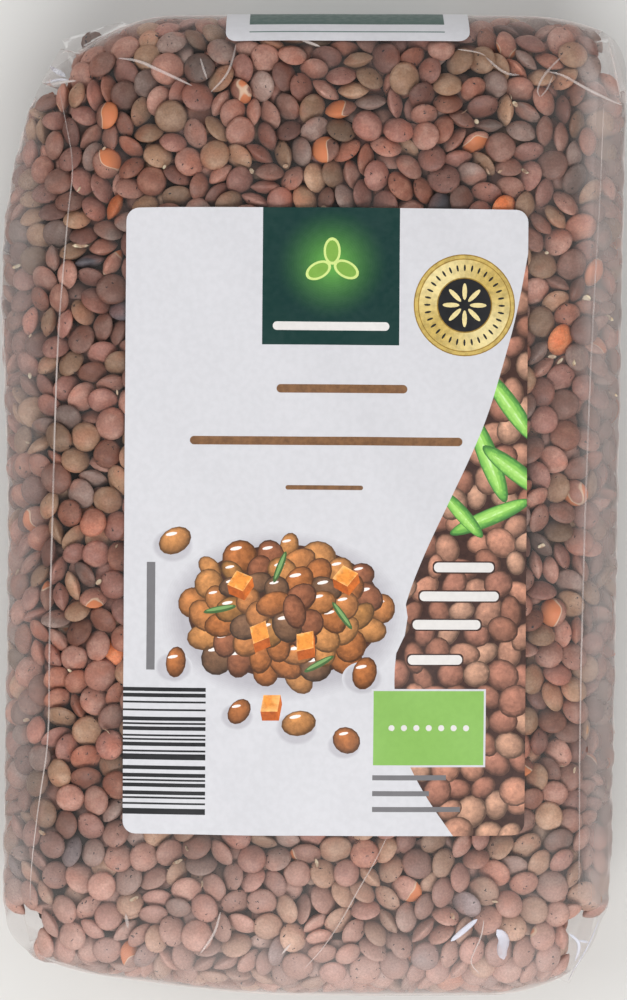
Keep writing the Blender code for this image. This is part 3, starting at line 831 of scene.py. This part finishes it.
def laySeam(name, reach, level, width, height):  # the pressed seam across the bottom end
    places = []
    for x in np.arange(-reach, reach, 0.6):
        found = filmSurface.ray_cast(Vector((x, -120, level)) * mm, Vector((0, 1, 0)))[0]
        places.append((x, found.y / mm - 0.05, level))
    across = np.tile((0.0, 0.0, 1.0), (len(places), 1))
    return pinchAlong(name, np.array(places), across, (0, -1, 0), width, height)


def cornerFilm(name, innerA, innerB, outerA, outerB, depth, seed):  # a flattened empty tip of the bag
    draw = np.random.default_rng(seed)
    share = np.linspace(0, 1, 14)[:, None, None]
    turns = (np.arange(28) * math.tau / 28)[None, :, None]
    first = innerA + np.subtract(outerA, innerA) * share
    second = innerB + np.subtract(outerB, innerB) * share
    middle, half = (first + second) / 2, (second - first) / 2
    rings = middle + half * np.cos(turns)
    thick = (depth / 2) * (1 - share) ** 0.8 + 0.12
    crumple = sum(
        draw.uniform(0.1, 0.3) * np.sin(k * share * 3 + n * turns + draw.uniform(0, 6))
        for k, n in ((2, 2), (3, 5), (1, 4), (5, 3))
    )
    lift = thick * np.sin(turns) + crumple * soften(share * 2) * (0.6 + 0.4 * np.sin(turns))
    rings = rings + np.array([0, 0, 1.0]) * lift
    return rolled(name, rings, sharpAngle=35)


def joinPieces(name, pieces):
    deselectAll()
    for piece in pieces:
        piece.select_set(True)
    bpy.context.view_layer.objects.active = pieces[0]
    bpy.ops.object.join()
    pieces[0].name = pieces[0].data.name = name
    return pieces[0]


seam = laySeam("bottomSeam", 35.0, halfThick * (1 - bag["slump"]), 1.5, 0.25)
folds = joinPieces("filmFolds", [layFold(name, *shape) for name, shape in foldLines.items()] + [seam])
gleams = joinPieces("filmGleams", [layFold(name, *shape) for name, shape in gleamLines.items()])
corners = joinPieces("filmCorners", [cornerFilm(name, *shape) for name, shape in filmCorners.items()])
print("folds and corners laid")


# the milk is the film's haze, and on the folds and gleams it is also painted sheen
def filmMaterial(name, hazeOrSheen, gloss, settled=False, hazeOrSheenColour=(0.88, 0.79, 0.75)):
    material, kit, shader = newMaterial(name)
    kit.nodes.remove(shader)
    clear = kit.add("ShaderNodeBsdfTransparent", Color=(0.985,) * 3)
    shine = kit.add("ShaderNodeBsdfPrincipled", Base_Color=(1.0,) * 3, Metallic=1.0, Roughness=gloss)
    milk = kit.add("ShaderNodeBsdfPrincipled", Base_Color=hazeOrSheenColour, Roughness=0.5)
    glance = kit.add("ShaderNodeLayerWeight", Blend=0.24).outputs["Fresnel"]
    filled = kit.range(kit.attribute("empty"), 0.0, 1.0, 1.0, 0.14)
    veil = kit.range(kit.noise(Scale=55.0, Detail=4.0), 0.3, 0.75, hazeOrSheen * 0.5, hazeOrSheen * 1.6)
    if settled:
        x, y, _ = kit.add("ShaderNodeSeparateXYZ", kit.place()).outputs
        # the milk grows by position towards both ends and both sides, where the film lies loose, and at
        # grazing angles
        for source, start, full, most in (
            (y, -0.050, -0.070, 0.045), (y, -0.072, -0.090, 0.16), (y, 0.080, 0.090, 0.15),
            (x, 0.032, 0.042, 0.03), (x, 0.0455, 0.051, 0.24), (x, -0.0455, -0.054, 0.16),
            (kit.attribute("loose"), 0.1, 1.0, 0.03), (glance, 0.14, 0.75, 0.38),
        ):
            both = kit.add("ShaderNodeMath", veil, kit.range(source, start, full, 0.0, most))
            both.use_clamp = True
            veil = both.outputs[0]
    mirrored = kit.math("MULTIPLY", kit.range(glance, 0.0, 1.0, 0.0, 0.5), filled)
    mirror = kit.add("ShaderNodeMixShader", mirrored, clear.outputs[0], shine.outputs[0])
    milky = kit.math("MULTIPLY", veil, filled)
    veiled = kit.add("ShaderNodeMixShader", milky, mirror.outputs[0], milk.outputs[0])
    kit.feed(kit.nodes["Material Output"], Surface=veiled.outputs[0])
    return material


# painted highlight: the pale bluish white given to the gleams' milk
paintedSheenColour = (0.86, 0.88, 0.98)
finishPiece(film, filmMaterial("clearFilm", 0.006, 0.2, True), ["lentil_bag"])
finishPiece(corners, filmMaterial("cornerFilm", 0.08, 0.1), ["lentil_bag"])
# the folds are real ridges of film; their stronger milk also paints the pale highlight lines along them
finishPiece(folds, filmMaterial("foldedFilm", 0.26, 0.2), ["lentil_bag"])
finishPiece(gleams, filmMaterial("gleamingFilm", 0.42, 0.12, False, paintedSheenColour), ["lentil_bag"])


# Labels: the print is cut into the label's own faces, each with its ink

inks = {
    "paper": linear(198, 197, 200), "darkGreen": linear(14, 50, 46), "brown": linear(128, 92, 62),
    "black": linear(28, 28, 30), "gold": linear(198, 170, 94), "paleGold": linear(226, 208, 150),
    "deepGold": linear(150, 118, 48), "leafGreen": linear(130, 174, 86), "field": linear(66, 44, 38),
    "pale": linear(212, 208, 204), "grey": linear(110, 108, 110),
}


def rounded(width, length, radius, steps=6):
    points = []
    for quarter, (sx, sy) in enumerate(((1, 1), (-1, 1), (-1, -1), (1, -1))):
        for i in range(steps + 1):
            turn = math.pi / 2 * (quarter + i / steps)
            points.append((sx * (width / 2 - radius) + radius * math.cos(turn),
                           sy * (length / 2 - radius) + radius * math.sin(turn)))
    return points


def box(left, bottom, right, top):
    return [(left, bottom), (right, bottom), (right, top), (left, top)]


def oval(x, y, across, up, turn, steps):
    made = []
    for i in range(steps):
        a = math.tau * i / steps
        px, py = across * math.cos(a), up * math.sin(a)
        made.append((x + px * math.cos(turn) - py * math.sin(turn),
                     y + px * math.sin(turn) + py * math.cos(turn)))
    return made


def disc(x, y, radius, steps):
    return oval(x, y, radius, radius, 0, steps)


def bar(x, y, width, height, radius=None):  # stands in for a word
    corner = height / 2 - 0.01 if radius is None else radius
    return [(x + px, y + py) for px, py in rounded(width, height, corner)]


def holdsPoint(outline, points):
    inside = np.zeros(len(points), bool)
    x, y = points.T
    for (x0, y0), (x1, y1) in zip(outline, outline[1:] + outline[:1]):
        crosses = (y0 > y) != (y1 > y)
        inside ^= crosses & (x < (x1 - x0) * (y - y0) / (y1 - y0 + 1e-12) + x0)
    return inside


labelPaper = {"lift": 0.16, "thick": 0.14, "rim": 0.985}


def printedSheet(name, outline, prints, grid, place):  # a print is a shape, its ink and perhaps its rim's ink
    lows, highs = np.min(outline, axis=0), np.max(outline, axis=0)
    points = [Vector((x, y)) for x in np.arange(lows[0] + grid / 2, highs[0], grid)
              for y in np.arange(lows[1] + grid / 2, highs[1], grid)]
    edges = []
    for shape in [outline] + [shape for shape, *_ in prints]:
        start, ring = len(points), []
        for (x0, y0), (x1, y1) in zip(shape, shape[1:] + shape[:1]):
            parts = max(1, math.ceil(math.hypot(x1 - x0, y1 - y0) / grid))
            ring += [Vector((x0 + (x1 - x0) * i / parts, y0 + (y1 - y0) * i / parts)) for i in range(parts)]
        points += ring
        edges += [(start + i, start + (i + 1) % len(ring)) for i in range(len(ring))]
    flat, _, faces, *_ = geometry.delaunay_2d_cdt(points, edges, [], 0, 1e-5)
    flat = np.array([tuple(p) for p in flat])
    middles = np.array([flat[face].mean(axis=0) for face in faces])
    kept = holdsPoint(outline, middles)
    faces = np.array(faces)
    ink = np.tile(inks["paper"], (len(faces), 3, 1)).astype(float)
    for shape, colour, *rim in prints:
        low, high = np.min(shape, axis=0), np.max(shape, axis=0)
        near = np.flatnonzero(((middles > low) & (middles < high)).all(axis=1))
        near = near[holdsPoint(shape, middles[near])]
        ink[near] = colour
        if rim:  # shades over from the colour around it
            middle = np.mean(shape, axis=0)
            core = [tuple(p) for p in middle + labelPaper["rim"] * (np.array(shape) - middle)]
            onRim = ~holdsPoint(core, flat[faces[near]].reshape(-1, 2)).reshape(-1, 3)
            ink[near] = np.where(onRim[..., None], rim[0], ink[near])
    faces, ink = faces[kept], ink[kept].reshape(-1, 3)
    sheet = meshPiece(name, (place(flat[:, 0], flat[:, 1]) * mm), faces.tolist())
    colours = sheet.data.attributes.new("ink", "FLOAT_COLOR", "CORNER")
    corner = np.hstack([ink, np.ones((len(ink), 1))])
    colours.data.foreach_set("color", corner.astype(np.float32).ravel())
    uv = sheet.data.uv_layers.new(name="label")
    share = (flat[faces.ravel()] - lows) / max(highs - lows)
    uv.data.foreach_set("uv", share.astype(np.float32).ravel())
    with editing(sheet):
        bpy.ops.mesh.delete_loose()
    wall = sheet.modifiers.new("paper", "SOLIDIFY")
    wall.thickness = labelPaper["thick"] * mm
    wall.offset = 1.0
    bpy.ops.object.modifier_apply(modifier=wall.name)
    bpy.ops.object.shade_smooth_by_angle(angle=math.radians(30))
    return sheet


def onFront(u, v):
    turn = frontLabel["turn"]
    y = frontLabel["y"] + u * math.sin(turn) + v * math.cos(turn)
    x = frontLabel["x"] + u * math.cos(turn) - v * math.sin(turn) - sideways(y, bag["thickness"])
    ripple = 0.06 * np.sin(u / 5.3) * np.sin(v / 6.1 + 1) + 0.05 * np.sin(u / 2.9 + v / 3.7)
    return slumped(x, y, frontHeight(x) + labelPaper["lift"] + ripple)


def closingReach():
    return bag["shoulder"] * (bag["shoulderTurn"] - closingLabel["edgeTurn"]), halfThick - domeStart


def onEnd(u, v):
    onShoulder, onDome = closingReach()
    travel = np.abs(v)
    domed = travel <= onDome
    turn = bag["shoulderTurn"] - (travel - onDome) / bag["shoulder"]
    inset = np.where(domed, halfThick - travel, bag["shoulder"] * (1 - np.cos(turn)))
    left = np.minimum(travel, onDome) / onDome
    y = np.where(domed, halfLength - domeHeight * left ** 2, shoulderStart + bag["shoulder"] * np.sin(turn))
    slope = np.where(domed, 2 * domeHeight * travel / onDome ** 2, 0)
    awayY = np.where(domed, 1 / np.sqrt(1 + slope ** 2), np.sin(turn))
    awayZ = np.where(domed, slope / np.sqrt(1 + slope ** 2), np.cos(turn)) * np.sign(v)
    height = np.where(v >= 0, bag["thickness"] - inset, inset)
    x = closingLabel["x"] + u - sideways(y, height)
    trueX = x / (1 - inset / halfWidth)
    trueZ = np.where(v >= 0, frontHeight(trueX), backHeight(trueX))
    z = halfThick + (trueZ - halfThick) * (1 - inset / halfThick)
    return slumped(x, y + awayY * labelPaper["lift"], z + awayZ * labelPaper["lift"])


# Where things stand on the front label, in mm from its middle
labelPlan = {
    "greenSquare": (-11.4, 31.1, 12.7, 55.3), "glow": (0.8, 45.4, 10.5), "nameBar": (0.7, 34.4, 20.5, 1.5),
    "medal": (24.2, 38.3, 9.0, 4.7),
    "words": ((2.7, 23.4, 23.0, 1.5), (0.0, 14.2, 48.0, 1.5), (-0.3, 6.0, 13.6, 0.8)),
    "sideWord": (-30.7, -16.8, 1.5, 19.0),
    "bars": (-35.7, -20.9, -29.4, -52.6),
    "greenBox": (8.6, -42.8, 28.1, -29.7),
    "smallWords": ((8.5, -45.0, 13.0), (8.5, -47.8, 10.0), (8.5, -50.6, 15.5)),
    "paleWords": ((24.4, -7.9, 10.6), (23.6, -13.0, 14.0), (21.4, -18.0, 12.0), (19.4, -24.2, 9.6)),
    "fieldEdge": (
        (35.6, 48.2), (33.6, 37.0), (31.0, 27.4), (28.4, 18.6), (25.2, 11.0), (21.4, 3.0), (17.8, -4.6),
        (14.6, -12.6), (12.8, -20.0), (12.0, -29.5), (13.6, -40.0), (17.6, -48.0), (23.6, -56.4),
    ),
    "blades": ((32.5, 20.5, 15.0, 3.4, 2.2), (28.6, 11.5, 17.0, 3.6, 1.95), (33.6, 9.0, 15.0, 3.4, 2.5),
               (29.0, 1.0, 15.5, 3.0, 0.4), (24.0, 1.5, 11.0, 2.6, 2.3)),
    "bladeTones": ((1.0, 0.0, (70, 122, 60)), (0.88, 0.1, (104, 164, 74)), (0.66, 0.3, (142, 196, 92)),
                   (0.3, 0.3, (164, 212, 112)), (0.12, 0.1, (190, 224, 156))),
    "mound": (-7.0, -15.8, 17.5, 12.0, 58),
    "strays": ((-26.5, -3.5), (7.0, -26.6), (-15.0, -33.5), (-4.5, -35.5), (3.9, -38.4), (-26.2, -24.9)),
    "cubes": ((-15.0, -11.0, 0.3), (-3.5, -21.5, 0.9), (3.5, -10.0, 0.2), (-11.5, -20.0, 1.1),
              (-9.5, -32.5, 0.7)),
    "cubeSides": ((196, 98, 36), (214, 116, 44), (186, 92, 34), (204, 106, 40)),
    "herbs": ((-18.5, -15.5, 0.2), (-8.0, -8.0, 1.2), (3.0, -16.5, 2.2), (-1.0, -25.0, 0.5)),
}


def shades(*browns):  # the tones of each kind of printed lens, from its edge to its light side
    steps = (0.52, 0.78, 0.93, 1.04, 1.14)
    return [[linear(*(min(255, part * step) for part in brown)) for step in steps] for brown in browns]


def bead(draw, x, y, size, tones, gloss=False):
    turn = draw.uniform(0, math.pi)
    squash = draw.uniform(0.62, 0.94)
    for reach, ink, rim in zip((1.0, 0.93, 0.78, 0.56, 0.32), tones, (tones[0], *tones)):
        away = (1 - reach) * size * 0.42
        yield oval(x - away * 0.7, y + away, size * reach, size * squash * reach, turn, 14), ink, rim
    if gloss:
        shine = oval(x - size * 0.2, y + size * squash * 0.52, size * 0.34, size * 0.1, 0.2, 10)
        yield shine, linear(236, 226, 220)


def blend(first, second, share):
    return tuple(a + (b - a) * share for a, b in zip(first, second))


def shadowUnder(x, y, across, up, depth):
    for i in range(9):
        share = i / 8
        reach = 1.16 - 0.2 * share
        colour = blend(inks["paper"], linear(160, 156, 162), share * depth)
        yield oval(x - 0.4, y - 0.9, across * reach, up * reach, 0, 30), colour


def fieldPrints(plan, draw):
    browns = shades((186, 136, 112), (196, 150, 124), (172, 118, 98), (200, 142, 116), (158, 108, 88))
    halfW, halfL = frontLabel["width"] / 2, frontLabel["length"] / 2
    edge = [tuple(p) for p in throughBends(plan["fieldEdge"], 1.0)]
    yield edge + [(halfW + 0.5, -halfL - 0.9), (halfW + 0.5, 48.2)], inks["field"]
    field = edge + [(halfW + 2, -halfL - 1), (halfW + 2, 48.2)]
    beads = []
    for row in range(27):
        for column in range(7):
            x = 11.0 + column * 4.4 + (row % 2) * 2.2 + draw.uniform(-0.8, 0.8)
            y = -54.5 + row * 3.9 + draw.uniform(-0.8, 0.8)
            if holdsPoint(field, np.array([[x + 1.2, y]]))[0]:
                beads.append((x, y, draw.uniform(2.2, 3.1), draw.choice(browns)))
    draw.shuffle(beads)
    for x, y, size, tones in beads:
        yield from bead(draw, x, y, size, tones)
    for x, y, length, width, turn in plan["blades"]:
        rim = linear(58, 104, 52)
        for reach, slide, ink in plan["bladeTones"]:
            middle = x - slide * math.sin(turn), y + slide * math.cos(turn)
            shape = oval(*middle, length / 2 * (0.6 + 0.4 * reach), width / 2 * reach, turn, 24)
            yield shape, linear(*ink), rim
            rim = linear(*ink)
    yield edge + [(-halfW - 1, -halfL - 1), (-halfW - 1, halfL + 1), (35.6, halfL + 1)], inks["paper"]
    for x, y, width in plan["paleWords"]:
        for grow, ink in ((0.25, "field"), (0.0, "pale")):
            yield bar(x, y, width + 2 * grow, 1.7 + 2 * grow, 0.8), inks[ink]


def moundPrints(plan, draw):
    browns = shades((176, 108, 60), (190, 124, 72), (150, 94, 66), (198, 136, 80), (124, 90, 66),
                    (168, 116, 64))
    x, y, across, up, count = plan["mound"]
    yield from shadowUnder(x, y, across * 1.08, up * 1.1, 0.75)
    yield oval(x, y, across * 0.98, up * 0.98, 0, 40), linear(74, 46, 34)
    golden = math.pi * (3 - math.sqrt(5))
    for i in reversed(range(count)):
        r, a = math.sqrt((i + 0.5) / count), i * golden
        middle = x + across * r * math.cos(a), y + up * r * math.sin(a)
        yield from bead(draw, *middle, draw.uniform(2.3, 3.3), draw.choice(browns), draw.random() < 0.5)
    for px, py in plan["strays"]:
        size = draw.uniform(2.4, 3.1)
        yield from shadowUnder(px, py, size * 1.05, size * 0.85, 0.55)
        yield from bead(draw, px, py, size, draw.choice(browns), True)
    for px, py, turn in plan["cubes"]:
        top = oval(px, py + 0.5, 2.3, 1.9, turn, 4)
        low = [(x + 0.3, y - 1.6) for x, y in top]
        for k, ink in enumerate(plan["cubeSides"]):
            after = (k + 1) % 4
            yield [top[k], top[after], low[after], low[k]], linear(*ink)
        yield top, linear(240, 150, 64), linear(250, 186, 112)
    for px, py, turn in plan["herbs"]:
        yield oval(px, py, 3.0, 0.6, turn, 12), linear(66, 96, 54)
        yield oval(px, py + 0.15, 2.5, 0.28, turn, 12), linear(120, 156, 96)


def spokes(count, x, y, reach, across, up, steps, ink):  # ovals that stand round a point
    for i in range(count):
        a = math.tau * i / count
        yield oval(x + reach * math.cos(a), y + reach * math.sin(a), across, up, a, steps), inks[ink]


def emblemPrints(plan):
    yield box(*plan["greenSquare"]), inks["darkGreen"]
    x, y, reach = plan["glow"]
    for i in range(22):
        share = i / 21
        colour = blend(inks["darkGreen"], linear(88, 152, 66), share ** 1.9)
        yield disc(x, y, reach * (1 - 0.85 * share), 40), colour
    for dx, dy, turn in ((-2.4, -1.2, 0.5), (2.5, -1.0, -0.5), (0.0, 2.2, 1.57)):
        yield oval(x + dx, y + dy, 2.4, 1.5, turn, 24), linear(196, 214, 128)
        yield oval(x + dx, y + dy, 1.9, 1.1, turn, 24), linear(118, 160, 66)
    yield bar(*plan["nameBar"]), inks["pale"]
    x, y, outer, inner = plan["medal"]
    for inset, ink in ((0.0, "deepGold"), (0.2, "gold"), (0.75, "deepGold"), (0.9, "gold")):
        yield disc(x, y, outer - inset, 56), inks[ink]
    for i in range(36):  # brushed sheen in wedges
        a, b = math.tau * i / 36, math.tau * (i + 1) / 36
        ends = (inner, a), (outer - 0.95, a), (outer - 0.95, b), (inner, b)
        wedge = [(x + r * math.cos(t), y + r * math.sin(t)) for r, t in ends]
        yield wedge, blend(inks["gold"], inks["paleGold"], 0.5 + 0.5 * math.cos(2 * a - 4.4))
    yield from spokes(32, x, y, 6.6, 0.62, 0.2, 8, "black")
    yield disc(x, y, inner + 0.2, 44), inks["deepGold"]
    yield disc(x, y, inner, 44), inks["black"]
    yield from spokes(8, x, y, 2.4, 1.5, 0.42, 12, "paleGold")


def frontPrints():
    plan, draw = labelPlan, random.Random(5)
    yield from fieldPrints(plan, draw)
    yield from moundPrints(plan, draw)
    yield from emblemPrints(plan)
    for word in plan["words"]:
        yield bar(*word), inks["brown"]
    x, y, width, height = plan["sideWord"]
    yield box(x - width / 2, y - height / 2, x + width / 2, y + height / 2), inks["grey"]
    left, right, top, bottom = plan["bars"]
    y, narrow = top, 0.345
    while y - 3 * narrow > bottom:
        thick = narrow * draw.choice((1, 1, 1, 2, 2, 3))
        yield box(left, y - thick, right, y), inks["black"]
        y -= thick + narrow * draw.choice((1, 1, 1, 2, 2, 3))
    left, bottom, right, top = plan["greenBox"]
    yield box(left - 0.35, bottom - 0.35, right + 0.35, top + 0.35), inks["paper"]
    yield box(left, bottom, right, top), inks["leafGreen"]
    for i in range(7):
        yield disc(left + 3.2 + i * 2.2, (bottom + top) / 2, 0.55, 10), inks["pale"]
    for x, y, width in plan["smallWords"]:
        yield box(x, y - 0.45, x + width, y + 0.45), inks["grey"]


def closingPrints():
    edge = sum(closingReach())
    for sign in (1, -1):
        for near, far, ink in ((4.5, 14.0, (60, 84, 78)), (1.9, 2.2, (90, 112, 106))):
            bottom, top = sorted((sign * (edge - near), sign * (edge - far)))
            yield box(-17.5, bottom, 17.5, top), linear(*ink)


frontOutline = rounded(frontLabel["width"], frontLabel["length"], frontLabel["radius"])
frontSheet = printedSheet("frontLabelPaper", frontOutline, list(frontPrints()), 2.4, onFront)
endOutline = rounded(closingLabel["width"], 2 * sum(closingReach()), closingLabel["radius"])
endSheet = printedSheet("closingLabelPaper", endOutline, list(closingPrints()), 1.4, onEnd)
print("labels printed:", len(frontSheet.data.polygons), len(endSheet.data.polygons))


def paperMaterial():
    material, kit, shader = newMaterial("labelPaper")
    ink = kit.attribute("ink", "Color")
    fibre = kit.noise(Scale=900.0, Detail=5.0)
    parts = kit.add("ShaderNodeSeparateColor", ink)
    parts.mode = "HSV"
    hue, strength, _ = parts.outputs
    brown = kit.math("MULTIPLY", kit.range(strength, 0.2, 0.5, 0.0, 1.0), kit.range(hue, 0.1, 0.14, 1.0, 0.0))
    mottle = kit.noise(Scale=950.0, Detail=4.0, Roughness=0.65)
    grains = kit.ramp(mottle, (0.34, (0.66, 0.66, 0.68)), (0.6, (1.0, 1.0, 1.0)))
    printed = kit.mix(brown, ink, grains, "MULTIPLY")
    printed = kit.brighten(printed, kit.range(fibre, 0.3, 0.7, 0.97, 1.02))
    kit.feed(shader, Base_Color=printed, Roughness=kit.range(fibre, 0.3, 0.7, 0.38, 0.5),
             Specular_IOR_Level=0.3, Normal=kit.bump(fibre, 0.15, 0.00003))
    return material


paper = paperMaterial()
finishPiece(frontSheet, paper, ["front_label"])
finishPiece(endSheet, paper, ["closing_label"])


# Floor, light and camera

studio = {"cameraHeight": 700.0, "lens": 135.8, "labelRight": 2.15, "labelBelow": 3.82}


def buildStage():
    deselectAll()
    bpy.ops.mesh.primitive_plane_add(size=6)
    floor = bpy.context.object
    floor.name = "paleFloor"
    material, kit, shader = newMaterial("paleFloor")
    soft = kit.noise(Scale=3.0, Detail=2.0)
    tint = kit.ramp(soft, (0.3, linear(203, 202, 199)), (0.7, linear(211, 209, 205)))
    kit.feed(shader, Base_Color=tint, Roughness=0.8)
    floor.data.materials.append(material)


def areaLight(name, place, size, power):
    data = bpy.data.lights.new(name, "AREA")
    data.shape = "RECTANGLE"
    data.size, data.size_y = size
    data.energy = power
    lamp = bpy.data.objects.new(name, data)
    lamp.location = place
    lamp.rotation_euler = (-Vector(place)).to_track_quat("-Z", "Y").to_euler()
    bpy.context.scene.collection.objects.link(lamp)


buildStage()
areaLight("softBox", (0.05, -0.75, 1.0), (1.2, 0.7), 14.5)
areaLight("fillLeft", (-1.2, 0.2, 0.9), (1.0, 1.2), 9.6)
areaLight("fillRight", (1.2, 0.2, 0.9), (1.0, 1.2), 4.5)
areaLight("fillTop", (0.0, 1.3, 0.8), (1.6, 0.8), 8)
world = bpy.data.worlds.new("studio")
bpy.context.scene.world = world
world.use_nodes = True
backdrop = world.node_tree.nodes["Background"]
NodeKit(world.node_tree).feed(backdrop, Color=(0.93, 0.95, 1.0), Strength=0.24)
bpy.context.scene.view_settings.view_transform = "Standard"

cameraData = bpy.data.cameras.new("camera")
cameraData.lens = studio["lens"]
cameraData.sensor_width = 36
cameraData.clip_start = 0.01
camera = bpy.data.objects.new("camera", cameraData)
camera.location = Vector((
    labelMiddle.x - studio["labelRight"], labelMiddle.y + studio["labelBelow"], studio["cameraHeight"]
)) * mm
bpy.context.scene.collection.objects.link(camera)
bpy.context.scene.camera = camera
